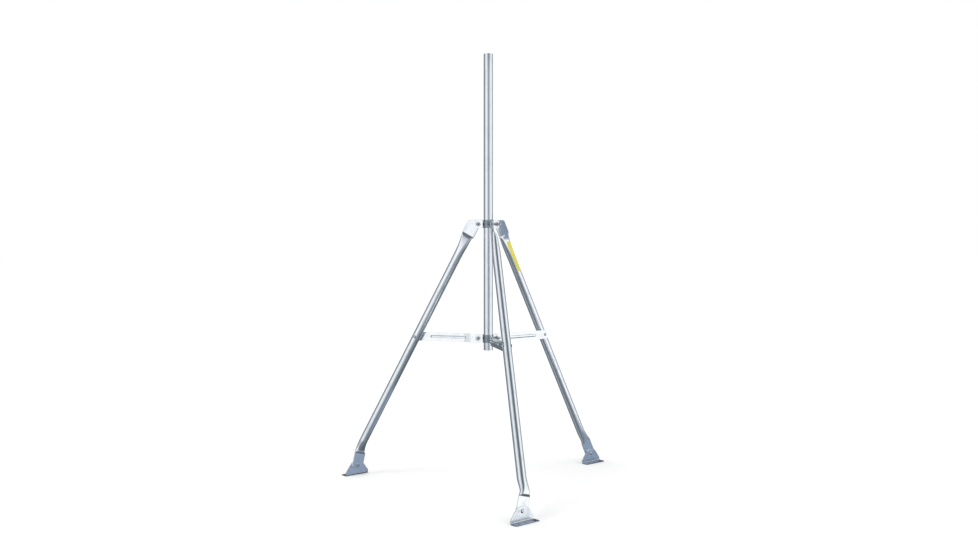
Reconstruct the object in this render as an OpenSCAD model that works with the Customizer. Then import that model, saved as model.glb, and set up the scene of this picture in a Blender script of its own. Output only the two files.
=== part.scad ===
/* [Mast] */
// Outside diameter of the mast tube
mast_od = 38.1; // [32:0.1:44]
// Wall of the mast tube
mast_wall = 1.6; // [1.2:0.1:2.5]
// Height of the mast's top above the floor
mast_top = 1780; // [1500:10:2200]
// Height of the mast's lower end above the floor
mast_bottom = 554; // [540:1:575]

/* [Clamps] */
// Height of the middle of the top clamp
top_z = 1076; // [1040:1:1100]
// Height of the middle of the lower clamp
low_z = 602; // [595:1:620]
// Height of the clamp bands
band_h = 33; // [28:1:36]
// Sheet thickness of the clamps
band_t = 2.5; // [2:0.1:3]
// Distance of the clamp bolts from the mast's axis
pivot_r = 44; // [42:0.5:48]
// Distance of the flanges' outer edge from the mast's axis
flange_r = 59; // [57:0.5:62]

/* [Legs] */
// Outside diameter of the leg tube
leg_od = 35; // [32:0.5:36]
// Wall of the leg tube
leg_wall = 1.6; // [1.4:0.1:2]
// Angle of the leg from the vertical
lean = 28.4; // [27:0.1:30]
// Distance of the leg's axis outside its top bolt
leg_ecc = 15.8; // [14:0.1:17]
// Sideways distance of the leg's axis from its top flat
leg_side = 7; // [5:0.5:9]
// Width of the flattened ends
flat_w = 57; // [54:1:58]
// Thickness of the flattened ends
flat_t = 3.4; // [3:0.1:4]
// Length of the top flat below its bolt
flat_len = 60; // [56:1:62]
// Height of the crease above the foot
crease_z = 96; // [92:1:104]

/* [Arms] */
// Height of the brace arms
arm_h = 37; // [32:1:38]
// Thickness of the brace arms
arm_t = 3; // [2.5:0.1:3]
// Length of the pressed rib
rib_len = 150; // [120:1:160]

/* [Feet] */
// Length of the foot
foot_l = 114; // [100:1:120]
// Depth of the foot's base
foot_d = 33; // [28:1:40]
// Sheet thickness of the foot
foot_t = 3; // [2.5:0.1:3.5]
// Height of the foot's bolt above the floor
foot_bolt_z = 40; // [36:0.5:44]
// Height of the foot's plate
foot_h = 57; // [54:1:60]
// Spacing of the three holes in the base
anchor_pitch = 34; // [30:1:36]
// Diameter of the holes in the base
anchor_d = 9; // [7:0.5:10]

/* [Fasteners] */
// Diameter of the bolts
bolt_d = 8; // [7:0.5:8]
// Length of thread that stands out past a clamp nut
thread_out = 15; // [8:1:18]
// Thread pitch
pitch = 1.5; // [1.25:0.25:2]
// Diameter of the arm pins
pin_d = 8; // [6:0.5:9]

/* [Hidden] */
$fn = 96;

// leg directions about the mast: a along +X, b and c at 120 degrees on either side
ang = [0, -120, 120];
// side of the leg on which its clamp nuts stand
nut_side = [-1, 1, 1];
// side along Y on which each foot's plate lies
plate_side = [-1, -1, 1];

mast_r = mast_od / 2;
// the stretch inside the clamps is drawn a little thinner, so that the stretch above them is a wall of its own
mast_low_r = mast_r - 0.2;
mast_split = top_z + band_h / 2 + 6;
bore_r = mast_r + 0.05;
band_r = bore_r + band_t;
leg_r = leg_od / 2;
hole_r = bolt_d / 2 + 0.1;
top_gap = flat_t + 0.1;
low_gap = arm_t + 0.1;
// arm pin: height low_z, on the leg's axis
pin_u = (top_z - low_z + leg_ecc * sin(lean)) / cos(lean);
pin_r = pivot_r + leg_ecc * cos(lean) + pin_u * sin(lean);
arm_len = pin_r - pivot_r;
// plane of the arm beside the leg tube
arm_y = leg_side - leg_r - 0.3 - arm_t / 2;
// leg's axis at a given height: distance from the mast
function axis_r(z) = pivot_r + leg_ecc / cos(lean) + (top_z - z) * tan(lean);
function axis_x(i, z) = axis_r(z) * cos(ang[i]) - leg_side * sin(ang[i]);
function axis_y(i, z) = axis_r(z) * sin(ang[i]) + leg_side * cos(ang[i]);
// angle of each lower flat in its own plane: the leg's own slope, seen along Y
tilt = [-lean, atan(tan(lean) / 2), atan(tan(lean) / 2)];
// the lower flat is spread towards +X and set back from the foot's plate
flat_e = 9.5;
set_back = 5;
function flat_y(i) = axis_y(i, crease_z) - plate_side[i] * set_back;
function foot_u(i) = (crease_z - foot_bolt_z - flat_e * sin(tilt[i])) / cos(tilt[i]);
function foot_x(i) = axis_x(i, crease_z) + flat_e * cos(tilt[i]) - foot_u(i) * sin(tilt[i]);

// ---- frames
module at_leg(i) rotate([0, 0, ang[i]]) children();
// origin on the top bolt, -Z down the leg, +X outwards across it
module leg_frame(i) at_leg(i) translate([pivot_r, 0, top_z]) rotate([0, -lean, 0]) children();
// origin on the crease, -Z down the lower flat, Y through it
module flat_frame(i) translate([axis_x(i, crease_z), flat_y(i), crease_z]) rotate([0, tilt[i], 0]) children();

// ---- small shapes
module along_y(x, z, r, y0, y1) translate([x, y0, z]) rotate([-90, 0, 0]) cylinder(r = r, h = y1 - y0);

// hexagon with chamfered ends, along +Z from z = 0
module hex_body(af, h, both = true) {
  rc = af / 2 / cos(30);
  c = 1.1;
  intersection() {
    cylinder(r = rc, h = h, $fn = 6);
    rotate_extrude() polygon([[0, 0], [both ? rc - c : rc + 0.1, 0], [rc + 0.1, both ? c * 0.65 : 0],
      [rc + 0.1, h - c * 0.65], [rc - c, h], [0, h]]);
  }
}

// bolt along +Z: the face under its hexagon head is at z = 0, the head is below
module hex_bolt(d, len, thread) {
  r = d / 2;
  n = floor(thread / pitch);
  mirror([0, 0, 1]) hex_body(d * 1.625, d * 0.66, false);
  rotate_extrude() polygon(concat(
    [[0, -0.5], [r, -0.5], [r, len - n * pitch]],
    [for (k = [0 : n - 1], s = [0, 1])
      s == 0 ? [r - 0.62, len - n * pitch + (k + 0.5) * pitch] : [k == n - 1 ? r - 0.8 : r, len - n * pitch + (k + 1) * pitch]],
    [[0, len]]));
}

module hex_nut(d, h) difference() {
  hex_body(d * 1.625, h);
  translate([0, 0, -1]) cylinder(r = d / 2 + 0.05, h = h + 2);
}

module washer(d, od, t) difference() {
  cylinder(r = od / 2, h = t);
  translate([0, 0, -1]) cylinder(r = d / 2 + 0.15, h = t + 2);
}

// ---- mast
module mast_tube() color("gainsboro") difference() {
  union() {
    translate([0, 0, mast_bottom]) cylinder(r = mast_low_r, h = mast_split - mast_bottom);
    translate([0, 0, mast_split]) cylinder(r = mast_r, h = mast_top - mast_split);
  }
  translate([0, 0, mast_bottom - 1]) cylinder(r = mast_r - mast_wall, h = mast_top - mast_bottom + 2);
}

// ---- clamps
// one flange and its bend, in plan, on the side s of a leg
module flange_2d(gap, s) {
  f = 4;
  y1 = gap / 2 + band_t;
  // the bend's circle dips a little into both sheets, so that no face is left tangent
  yc = y1 + f - 0.15;
  xc = sqrt(pow(band_r + f - 0.25, 2) - pow(yc, 2));
  k = (band_r - 0.5) / (band_r + f);
  scale([1, s]) {
    difference() {
      translate([0, gap / 2]) square([flange_r, band_t]);
      circle(r = bore_r + band_t / 2);
    }
    difference() {
      polygon([[bore_r + 0.6, y1 - 1], [xc, y1 - 1], [xc, y1 - 0.01], [xc * k, yc * k], [(bore_r + 0.8) * cos(18), (bore_r + 0.8) * sin(18)]]);
      translate([xc, yc]) circle(r = f);
    }
  }
}

// one of three pressed segments, from leg i round to leg j = i turned by 120 degrees
module segment(z, gap, i, j) {
  lo = asin(gap / 2 / band_r);
  difference() {
    translate([0, 0, z - band_h / 2]) linear_extrude(band_h) difference() {
      union() {
        intersection() {
          difference() { circle(r = band_r); circle(r = bore_r); }
          rotate(ang[i]) polygon([[0, 0], [60 * cos(lo + 4), 60 * sin(lo + 4)], [60 * cos(60), 60 * sin(60)], [60 * cos(116 - lo), 60 * sin(116 - lo)]]);
        }
        rotate(ang[i]) flange_2d(gap, 1);
        rotate(ang[j]) flange_2d(gap, -1);
      }
      circle(r = bore_r);
    }
    for (m = [i, j]) at_leg(m) {
      along_y(pivot_r, z, hole_r, -20, 20);
      // corners of the flanges
      for (s = [-1, 1]) translate([flange_r, -20, z + s * band_h / 2]) rotate([0, 45, 0]) cube([8, 80, 8], center = true);
    }
  }
}

module clamp_bolt(z, gap, i) color("silver") at_leg(i) translate([pivot_r, 0, z]) {
  s = nut_side[i];
  face = gap / 2 + band_t + 1.64;
  len = 2 * face + 6.5 + thread_out;
  translate([0, -s * face, 0]) rotate([-s * 90, 0, 0]) hex_bolt(bolt_d, len, thread_out - 1);
}

module clamp_nut(z, gap, i) color("silver") at_leg(i) translate([pivot_r, 0, z]) {
  s = nut_side[i];
  translate([0, s * (gap / 2 + band_t + 1.66), 0]) rotate([-s * 90, 0, 0]) rotate([0, 0, 12]) hex_nut(bolt_d, 6.4);
}

module clamp_washers(z, gap) color("silver") for (i = [0 : 2], s = [-1, 1])
  at_leg(i) translate([pivot_r, s * (gap / 2 + band_t + 0.02), z]) rotate([-s * 90, 0, 0]) washer(bolt_d, 20, 1.6);

// ---- legs
module oval(w, t, h) for (s = [-1, 1]) translate([s * (w - t) / 2, 0, 0]) cylinder(r = t / 2, h = h, $fn = 32);

module leg(i) color("gainsboro") {
  s = plate_side[i];
  // distance down the leg of the start of the lower transition
  u1 = (top_z - crease_z + leg_ecc * sin(lean)) / cos(lean) - 64;
  end_u = foot_u(i) + 13;
  // middle of the oval above the lower crease, across the flat
  oy = (axis_y(i, crease_z + 4) - flat_y(i)) * 0.55;
  ox = flat_e * 0.82;
  // middle of the top flat, a little outside the tube's axis
  tx = leg_ecc + 3;
  difference() {
    union() {
      leg_frame(i) translate([leg_ecc, leg_side, -u1 + 1]) cylinder(r = leg_r, h = u1 - 1 - flat_len - 55);
      // top flat
      leg_frame(i) difference() {
        translate([tx - flat_w / 2, -flat_t / 2, -flat_len - 3]) cube([flat_w, flat_t, flat_len + 33]);
        // its end is cut level, a little above the clamp
        rotate([0, lean, 0]) translate([-80, -10, band_h / 2 + 1.5]) cube([200, 20, 60]);
      }
      leg_frame(i) hull() {
        translate([tx, 0, -flat_len]) cube([flat_w - 0.8, flat_t - 0.5, 0.6], center = true);
        translate([leg_ecc + 2, leg_side * 0.6, -flat_len - 9]) oval(52, 19, 1);
      }
      leg_frame(i) hull() {
        translate([leg_ecc + 2, leg_side * 0.6, -flat_len - 9.3]) oval(51.4, 18.4, 0.7);
        translate([leg_ecc, leg_side, -flat_len - 56]) cylinder(r = leg_r - 0.6, h = 2, $fn = 48);
      }
      // lower transition
      hull() {
        leg_frame(i) translate([leg_ecc, leg_side, -u1]) cylinder(r = leg_r - 0.6, h = 2, $fn = 48);
        flat_frame(i) translate([ox, oy, 6.6]) oval(49.4, 19.4, 0.7);
      }
      hull() {
        flat_frame(i) translate([ox, oy, 6]) oval(50, 20, 1);
        flat_frame(i) translate([flat_e, 0, -3]) cube([flat_w - 0.8, flat_t - 0.5, 0.6], center = true);
      }
      // lower flat
      flat_frame(i) difference() {
        translate([flat_e - flat_w / 2, -flat_t / 2, -end_u]) cube([flat_w, flat_t, end_u]);
        for (q = [-1, 1]) translate([flat_e + q * flat_w / 2, 0, -end_u]) rotate([0, 45, 0]) cube([15, 20, 15], center = true);
      }
    }
    // inside of the tube
    leg_frame(i) translate([leg_ecc, leg_side, -u1 + 1]) cylinder(r = leg_r - leg_wall, h = u1 - 1 - flat_len - 55);
    leg_frame(i) hull() {
      translate([leg_ecc + 1.7, leg_side * 0.6, -flat_len - 12]) oval(47, 15, 0.5);
      translate([leg_ecc, leg_side, -flat_len - 56]) cylinder(r = leg_r - leg_wall - 0.9, h = 2, $fn = 48);
    }
    hull() {
      leg_frame(i) translate([leg_ecc, leg_side, -u1]) cylinder(r = leg_r - leg_wall - 0.9, h = 2, $fn = 48);
      flat_frame(i) translate([ox, oy, 9.5]) oval(45, 16, 0.5);
    }
    // holes: top bolt, spare hole, arm pin, foot bolt
    leg_frame(i) {
      along_y(0, 0, hole_r, -10, 10);
      along_y(21.4, -9.9, 2.6, -10, 10);
      along_y(leg_ecc, -pin_u, pin_d / 2 + 0.1, -30, 40);
    }
    along_y(foot_x(i), foot_bolt_z, hole_r, flat_y(i) - 10, flat_y(i) + 10);
  }
}

// ---- arms
// plan of the bar: between the clamp's flanges at its inner end, beside the leg tube at its outer end
module arm_plan() {
  j0 = 28; j1 = 58; h = arm_t / 2;
  m = h * tan(atan(-arm_y / (j1 - j0)) / 2);
  polygon([[-20, -h], [j0 - m, -h], [j1 - m, arm_y - h], [arm_len + 16, arm_y - h],
    [arm_len + 16, arm_y + h], [j1 + m, arm_y + h], [j0 + m, h], [-20, h]]);
}

module arm(i) color("whitesmoke") at_leg(i) translate([pivot_r, 0, low_z]) {
  r1 = 62 + rib_len;
  difference() {
    union() {
      intersection() {
        translate([0, 0, -arm_h / 2]) linear_extrude(arm_h) arm_plan();
        rotate([90, 0, 0]) translate([0, 0, -20]) linear_extrude(60) union() {
          circle(r = arm_h / 2);
          translate([0, -arm_h / 2]) square([arm_len + 4, arm_h]);
          translate([arm_len + 4, -arm_h / 2 + 10]) square([10, arm_h - 20]);
          for (s = [-1, 1]) translate([arm_len + 4, s * (arm_h / 2 - 10)]) circle(r = 10);
        }
      }
      // pressed rib
      difference() {
        translate([62, arm_y, 0]) rib(r1 - 62, 5);
        translate([0, arm_y, -50]) cube([400, 20, 100]);
      }
    }
    translate([62, arm_y + arm_t, 0]) rib(r1 - 62, 4.6);
    along_y(0, 0, hole_r, -20, 20);
    along_y(23, 6, 2.4, -20, 20);
    along_y(arm_len, 0, pin_d / 2 + 0.1, -30, 10);
  }
}

module rib(l, r) {
  rotate([0, 90, 0]) cylinder(r = r, h = l);
  sphere(r = r);
  translate([l, 0, 0]) sphere(r = r);
}

// ---- arm pins: the shank and its far head stay with the leg, the near head stays with the arm
module dome(r, h) rotate_extrude() intersection() {
  translate([0, h - (r * r + h * h) / (2 * h)]) circle(r = (r * r + h * h) / (2 * h));
  square([r, h]);
}

module arm_pin(i) color("silver") at_leg(i) translate([pin_r, 0, low_z]) {
  translate([0, leg_side - leg_r - 0.1, 0]) rotate([-90, 0, 0]) cylinder(r = pin_d / 2, h = leg_od + 0.2);
  translate([0, leg_side + leg_r + 0.05, 0]) rotate([-90, 0, 0]) dome(6.5, 3.6);
}

module arm_pin_head(i) color("silver") at_leg(i) translate([pin_r, arm_y - arm_t / 2, low_z]) {
  rotate([-90, 0, 0]) cylinder(r = pin_d / 2, h = arm_t);
  translate([0, -0.03, 0]) rotate([90, 0, 0]) dome(6.5, 3.6);
  translate([0, -0.03, 0]) rotate([-90, 0, 0]) cylinder(r = pin_d / 2, h = 0.1);
}

// ---- feet
// face of the foot's plate that lies on the leg's flat
function foot_y(i) = flat_y(i) + plate_side[i] * (flat_t / 2 + 0.05);

// section of the bracket: plate at x = 0, base along +X, with a rolled corner
module foot_section() {
  b = 6;
  translate([0, b]) square([foot_t, foot_h - b + 1]);
  translate([b, 0]) square([foot_d - b, foot_t]);
  intersection() {
    translate([b, b]) difference() { circle(r = b); circle(r = b - foot_t); }
    square([b, b]);
  }
}

module foot_outline() hull() {
  translate([-foot_l / 2, 0]) square([foot_l, 14]);
  for (s = [-1, 1]) translate([s * 18, foot_h - 15.5]) circle(r = 14, $fn = 48);
  translate([0, foot_h - 50]) circle(r = 50, $fn = 144);
}

module foot(i) color("lightslategray") {
  s = plate_side[i];
  difference() {
    translate([foot_x(i), foot_y(i), 0]) intersection() {
      scale([1, s, 1]) translate([-foot_l / 2, 0, 0]) rotate([90, 0, 90]) linear_extrude(foot_l) foot_section();
      translate([0, 60, 0]) rotate([90, 0, 0]) linear_extrude(120) foot_outline();
    }
    along_y(foot_x(i), foot_bolt_z, hole_r, foot_y(i) - 10, foot_y(i) + 10);
    for (k = [-1 : 1]) translate([foot_x(i) + k * anchor_pitch, foot_y(i) + s * 19, -1]) cylinder(r = anchor_d / 2, h = 10);
  }
}

module foot_bolt(i) color("silver") translate([foot_x(i), foot_y(i), foot_bolt_z]) {
  s = plate_side[i];
  translate([0, s * (foot_t + 0.03), 0]) rotate([-s * 90, 0, 0]) dome(8, 4);
  translate([0, s * (foot_t + 0.2), 0]) rotate([s * 90, 0, 0]) cylinder(r = bolt_d / 2, h = foot_t + flat_t + 11);
}

module foot_nut(i) color("silver") translate([foot_x(i), flat_y(i), foot_bolt_z]) {
  s = plate_side[i];
  translate([0, -s * (flat_t / 2 + 0.03), 0]) rotate([s * 90, 0, 0]) {
    washer(bolt_d, 17, 1.4);
    translate([0, 0, 1.4]) rotate([0, 0, 8]) hex_nut(bolt_d, 6);
  }
}

// ---- label on the outer side of leg a
module label() color("gold") leg_frame(0) translate([leg_ecc, leg_side, -234]) intersection() {
  difference() {
    cylinder(r = leg_r + 0.4, h = 114);
    translate([0, 0, -1]) cylinder(r = leg_r + 0.15, h = 116);
  }
  rotate([0, 0, -74]) linear_extrude(114) polygon([[0, 0], [60 * cos(-44), 60 * sin(-44)], [60, 0], [60 * cos(44), 60 * sin(44)]]);
}

mast_tube();
color("silver") segment(top_z, top_gap, 1, 0);  // top_clamp_ab
color("silver") segment(top_z, top_gap, 2, 1);  // top_clamp_bc
color("silver") segment(top_z, top_gap, 0, 2);  // top_clamp_ca
clamp_bolt(top_z, top_gap, 0);  // top_bolt_a
clamp_bolt(top_z, top_gap, 1);  // top_bolt_b
clamp_bolt(top_z, top_gap, 2);  // top_bolt_c
clamp_nut(top_z, top_gap, 0);  // top_nut_a
clamp_nut(top_z, top_gap, 1);  // top_nut_b
clamp_nut(top_z, top_gap, 2);  // top_nut_c
clamp_washers(top_z, top_gap);  // top_washers
leg(0);  // leg_a
leg(1);  // leg_b
leg(2);  // leg_c
color("silver") segment(low_z, low_gap, 1, 0);  // low_clamp_ab
color("silver") segment(low_z, low_gap, 2, 1);  // low_clamp_bc
color("silver") segment(low_z, low_gap, 0, 2);  // low_clamp_ca
clamp_bolt(low_z, low_gap, 0);  // low_bolt_a
clamp_bolt(low_z, low_gap, 1);  // low_bolt_b
clamp_bolt(low_z, low_gap, 2);  // low_bolt_c
clamp_nut(low_z, low_gap, 0);  // low_nut_a
clamp_nut(low_z, low_gap, 1);  // low_nut_b
clamp_nut(low_z, low_gap, 2);  // low_nut_c
clamp_washers(low_z, low_gap);  // low_washers
arm(0);  // arm_a
arm(1);  // arm_b
arm(2);  // arm_c
arm_pin(0);  // arm_pin_a
arm_pin(1);  // arm_pin_b
arm_pin(2);  // arm_pin_c
arm_pin_head(0);  // arm_pin_head_a
arm_pin_head(1);  // arm_pin_head_b
arm_pin_head(2);  // arm_pin_head_c
foot(0);  // foot_a
foot(1);  // foot_b
foot(2);  // foot_c
foot_bolt(0);  // foot_bolt_a
foot_bolt(1);  // foot_bolt_b
foot_bolt(2);  // foot_bolt_c
foot_nut(0);  // foot_nut_a
foot_nut(1);  // foot_nut_b
foot_nut(2);  // foot_nut_c
label();
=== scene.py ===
import math

import bmesh
import bpy
from mathutils import Matrix, Vector


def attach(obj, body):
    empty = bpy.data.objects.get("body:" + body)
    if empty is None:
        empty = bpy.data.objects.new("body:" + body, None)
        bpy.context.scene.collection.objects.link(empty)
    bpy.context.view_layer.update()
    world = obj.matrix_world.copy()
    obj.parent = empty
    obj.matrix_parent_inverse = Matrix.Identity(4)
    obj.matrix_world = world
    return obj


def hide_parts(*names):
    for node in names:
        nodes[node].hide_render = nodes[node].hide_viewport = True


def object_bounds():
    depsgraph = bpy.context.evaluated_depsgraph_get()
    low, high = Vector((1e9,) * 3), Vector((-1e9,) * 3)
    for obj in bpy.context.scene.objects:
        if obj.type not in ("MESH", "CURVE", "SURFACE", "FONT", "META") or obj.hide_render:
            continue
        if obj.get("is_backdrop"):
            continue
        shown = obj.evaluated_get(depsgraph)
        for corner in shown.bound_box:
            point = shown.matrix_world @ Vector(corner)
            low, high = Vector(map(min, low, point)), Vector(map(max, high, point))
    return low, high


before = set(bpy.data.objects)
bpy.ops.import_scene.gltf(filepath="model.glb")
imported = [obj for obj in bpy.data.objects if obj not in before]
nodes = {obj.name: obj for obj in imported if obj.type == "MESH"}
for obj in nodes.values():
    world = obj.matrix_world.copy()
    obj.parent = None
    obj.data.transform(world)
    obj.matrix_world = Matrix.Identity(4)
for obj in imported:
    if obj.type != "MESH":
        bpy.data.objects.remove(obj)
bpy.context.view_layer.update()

scene = bpy.context.scene
MM = 0.001
rad = math.radians

# ------------------------------------------------------------------ camera
camera_data = bpy.data.cameras.new("camera")
camera_data.sensor_width = 36.0
camera_data.lens = 37.17
camera_data.shift_x = 0.0007
camera_data.shift_y = -0.0290
camera_data.clip_end = 200.0
camera = bpy.data.objects.new("camera", camera_data)
scene.collection.objects.link(camera)
camera.location = (-2.776, -3.127, 0.9825)
LOOK = Vector((0.6639, 0.7478, 0.0)).normalized()
camera.rotation_euler = LOOK.to_track_quat("-Z", "Y").to_euler()
scene.camera = camera
scene.view_settings.view_transform = "Standard"

# ------------------------------------------------------------------ dimensions, as in the CAD model, in millimetres
ANG = (0.0, -120.0, 120.0)
NAMES = ("a", "b", "c")
NUT_SIDE = (-1, 1, 1)
PLATE_SIDE = (-1, -1, 1)
MAST_R, MAST_WALL, MAST_LOW, MAST_TOP = 19.05, 1.6, 554.0, 1780.0
TOP_Z, LOW_Z, BAND_H, BAND_T = 1076.0, 602.0, 33.0, 2.5
PIVOT_R, FLANGE_R, BORE_R = 44.0, 59.0, 19.1
BAND_R = BORE_R + BAND_T
LEG_R, LEAN, ECC, SIDE = 17.5, 28.4, 15.8, 7.0
FLAT_W, FLAT_T, FLAT_LEN, CREASE_Z = 57.0, 3.4, 60.0, 96.0
ARM_H, ARM_T, RIB_LEN = 37.0, 3.0, 150.0
FOOT_L, FOOT_D, FOOT_T, FOOT_BZ, FOOT_H = 114.0, 33.0, 3.0, 40.0, 57.0
ANCHOR_PITCH, ANCHOR_R = 34.0, 4.5
BOLT_D, THREAD_OUT, PITCH, PIN_D = 8.0, 15.0, 1.5, 8.0
FLAT_E, SET_BACK = 9.5, 5.0
TOP_GAP, LOW_GAP = FLAT_T + 0.1, ARM_T + 0.1
ARM_Y = SIDE - LEG_R - 0.3 - ARM_T / 2

sl, cl, tl = math.sin(rad(LEAN)), math.cos(rad(LEAN)), math.tan(rad(LEAN))
PIN_U = (TOP_Z - LOW_Z + ECC * sl) / cl
PIN_R = PIVOT_R + ECC * cl + PIN_U * sl
ARM_LEN = PIN_R - PIVOT_R
half_tilt = math.degrees(math.atan(tl / 2))
TILT = (-LEAN, half_tilt, half_tilt)


def axis_r(z):
    return PIVOT_R + ECC / cl + (TOP_Z - z) * tl


def axis_x(i, z):
    return axis_r(z) * math.cos(rad(ANG[i])) - SIDE * math.sin(rad(ANG[i]))


def axis_y(i, z):
    return axis_r(z) * math.sin(rad(ANG[i])) + SIDE * math.cos(rad(ANG[i]))


def flat_y(i):
    return axis_y(i, CREASE_Z) - PLATE_SIDE[i] * SET_BACK


def foot_u(i):
    return (CREASE_Z - FOOT_BZ - FLAT_E * math.sin(rad(TILT[i]))) / math.cos(rad(TILT[i]))


def foot_x(i):
    return axis_x(i, CREASE_Z) + FLAT_E * math.cos(rad(TILT[i])) - foot_u(i) * math.sin(rad(TILT[i]))


def foot_y(i):
    return flat_y(i) + PLATE_SIDE[i] * (FLAT_T / 2 + 0.05)


def rot(axis, degrees):
    return Matrix.Rotation(rad(degrees), 4, axis)


def at_leg(i):
    return rot("Z", ANG[i])


def leg_frame(i):
    return at_leg(i) @ Matrix.Translation((PIVOT_R, 0, TOP_Z)) @ rot("Y", -LEAN)


def flat_frame(i):
    return Matrix.Translation((axis_x(i, CREASE_Z), flat_y(i), CREASE_Z)) @ rot("Y", TILT[i])


# ------------------------------------------------------------------ mesh helpers
def smooth(x):
    x = min(1.0, max(0.0, x))
    return x * x * (3 - 2 * x)


def ramp(points, x):
    """Monotone cubic through (x, y) pairs sorted by x."""
    n = len(points)
    if x <= points[0][0]:
        return points[0][1]
    if x >= points[-1][0]:
        return points[-1][1]
    d = [(points[k + 1][1] - points[k][1]) / (points[k + 1][0] - points[k][0]) for k in range(n - 1)]
    m = [d[0]] + [0.0 if d[k - 1] * d[k] <= 0 else 2 * d[k - 1] * d[k] / (d[k - 1] + d[k]) for k in range(1, n - 1)] + [d[-1]]
    k = max(j for j in range(n - 1) if points[j][0] <= x)
    h = points[k + 1][0] - points[k][0]
    t = (x - points[k][0]) / h
    return ((1 + 2 * t) * (1 - t) ** 2 * points[k][1] + t * (1 - t) ** 2 * h * m[k]
            + t * t * (3 - 2 * t) * points[k + 1][1] + t * t * (t - 1) * h * m[k + 1])


def finish_mesh(name, verts, faces, matrix=None, angle=38.0):
    """Mesh object from millimetre vertices, with outward faces and smooth shading up to an angle."""
    mesh = bpy.data.meshes.new(name)
    m = matrix or Matrix.Identity(4)
    mesh.from_pydata([tuple((m @ Vector(v)) * MM) for v in verts], [], faces)
    bm = bmesh.new()
    bm.from_mesh(mesh)
    bmesh.ops.remove_doubles(bm, verts=bm.verts, dist=1e-7)
    bmesh.ops.recalc_face_normals(bm, faces=bm.faces)
    bm.to_mesh(mesh)
    bm.free()
    obj = bpy.data.objects.new(name, mesh)
    scene.collection.objects.link(obj)
    shade(obj, angle)
    return obj


def shade(obj, angle=38.0):
    mesh = obj.data
    mesh.polygons.foreach_set("use_smooth", [True] * len(mesh.polygons))
    mesh.set_sharp_from_angle(angle=rad(angle))
    mesh.update()


def bake(obj, angle=38.0):
    """Applies the object's modifiers to its mesh."""
    graph = bpy.context.evaluated_depsgraph_get()
    mesh = bpy.data.meshes.new_from_object(obj.evaluated_get(graph), depsgraph=graph)
    old = obj.data
    obj.modifiers.clear()
    obj.data = mesh
    mesh.name = obj.name
    bpy.data.meshes.remove(old)
    shade(obj, angle)
    return obj


def rings_to_faces(rings, n, closed=True, cap=True):
    faces = []
    for a in range(rings - 1):
        for b in range(n if closed else n - 1):
            c = (b + 1) % n
            faces.append((a * n + b, a * n + c, (a + 1) * n + c, (a + 1) * n + b))
    if cap:
        faces.append(tuple(range(n - 1, -1, -1)))
        faces.append(tuple((rings - 1) * n + b for b in range(n)))
    return faces


def sheet(name, grid, thickness, bevel=0.55, matrix=None, angle=38.0):
    """A pressed sheet from a grid of middle-surface points, with real thickness and rounded rims."""
    n = len(grid[0])
    verts = [p for row in grid for p in row]
    obj = finish_mesh(name, verts, rings_to_faces(len(grid), n, closed=False, cap=False), matrix, angle)
    solid = obj.modifiers.new("solid", "SOLIDIFY")
    solid.thickness = thickness * MM
    solid.offset = 0.0
    solid.use_even_offset = True
    round_ = obj.modifiers.new("round", "BEVEL")
    round_.width = bevel * MM
    round_.segments = 3
    round_.limit_method = "ANGLE"
    round_.angle_limit = rad(55)
    round_.use_clamp_overlap = True
    return bake(obj, angle)


def cutter(radius, p0, p1, matrix=None, n=48):
    """A cylinder from p0 to p1, in millimetres, for cutting holes."""
    a, b = Vector(p0), Vector(p1)
    if matrix is not None:
        a, b = matrix @ a, matrix @ b
    q = (b - a).normalized().to_track_quat("Z", "Y").to_matrix()
    verts = []
    for end in (a, b):
        for k in range(n):
            verts.append(end + q @ Vector((radius * math.cos(2 * math.pi * k / n), radius * math.sin(2 * math.pi * k / n), 0)))
    return finish_mesh("cutter", verts, rings_to_faces(2, n))


def cut(obj, cutters, angle=38.0):
    for c in cutters:
        m = obj.modifiers.new("hole", "BOOLEAN")
        m.operation = "DIFFERENCE"
        m.solver = "EXACT"
        m.object = c
    bake(obj, angle)
    for c in cutters:
        mesh = c.data
        bpy.data.objects.remove(c)
        bpy.data.meshes.remove(mesh)
    return obj


def turned(name, profile, matrix, n=64, angle=32.0):
    """A turned piece: profile is (radius, height) from bottom to top, closed on the axis or into a ring."""
    ring = profile[0][0] > 1e-6
    verts, faces = [], []
    m = len(profile)
    for r, z in profile:
        for k in range(n):
            f = 2 * math.pi * k / n
            verts.append((max(r, 0.0) * math.cos(f), max(r, 0.0) * math.sin(f), z))
    for a in range(m if ring else m - 1):
        b = (a + 1) % m
        for k in range(n):
            c = (k + 1) % n
            quad = [a * n + k, a * n + c, b * n + c, b * n + k]
            if not ring and profile[a][0] < 1e-6:
                quad = [a * n, b * n + c, b * n + k]
            elif not ring and profile[b][0] < 1e-6:
                quad = [a * n + k, a * n + c, b * n]
            faces.append(tuple(quad))
    obj = finish_mesh(name, verts, faces, matrix, angle)
    bm = bmesh.new()
    bm.from_mesh(obj.data)
    loose = [v for v in bm.verts if not v.link_faces]
    bmesh.ops.delete(bm, geom=loose, context="VERTS")
    bm.to_mesh(obj.data)
    bm.free()
    shade(obj, angle)
    return obj


def corner(r, z, cr, sr, sz, steps=4):
    """Points that round a profile's corner at (r, z): from the side sr (radial) to the side sz (axial)."""
    out = []
    for k in range(steps + 1):
        f = math.pi / 2 * k / steps
        out.append((r - sr * cr * (1 - math.sin(f)) if sz == 0 else r + sr * cr * (math.cos(f) - 1), z + sz * cr * (math.sin(f) - 1)))
    return out


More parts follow.
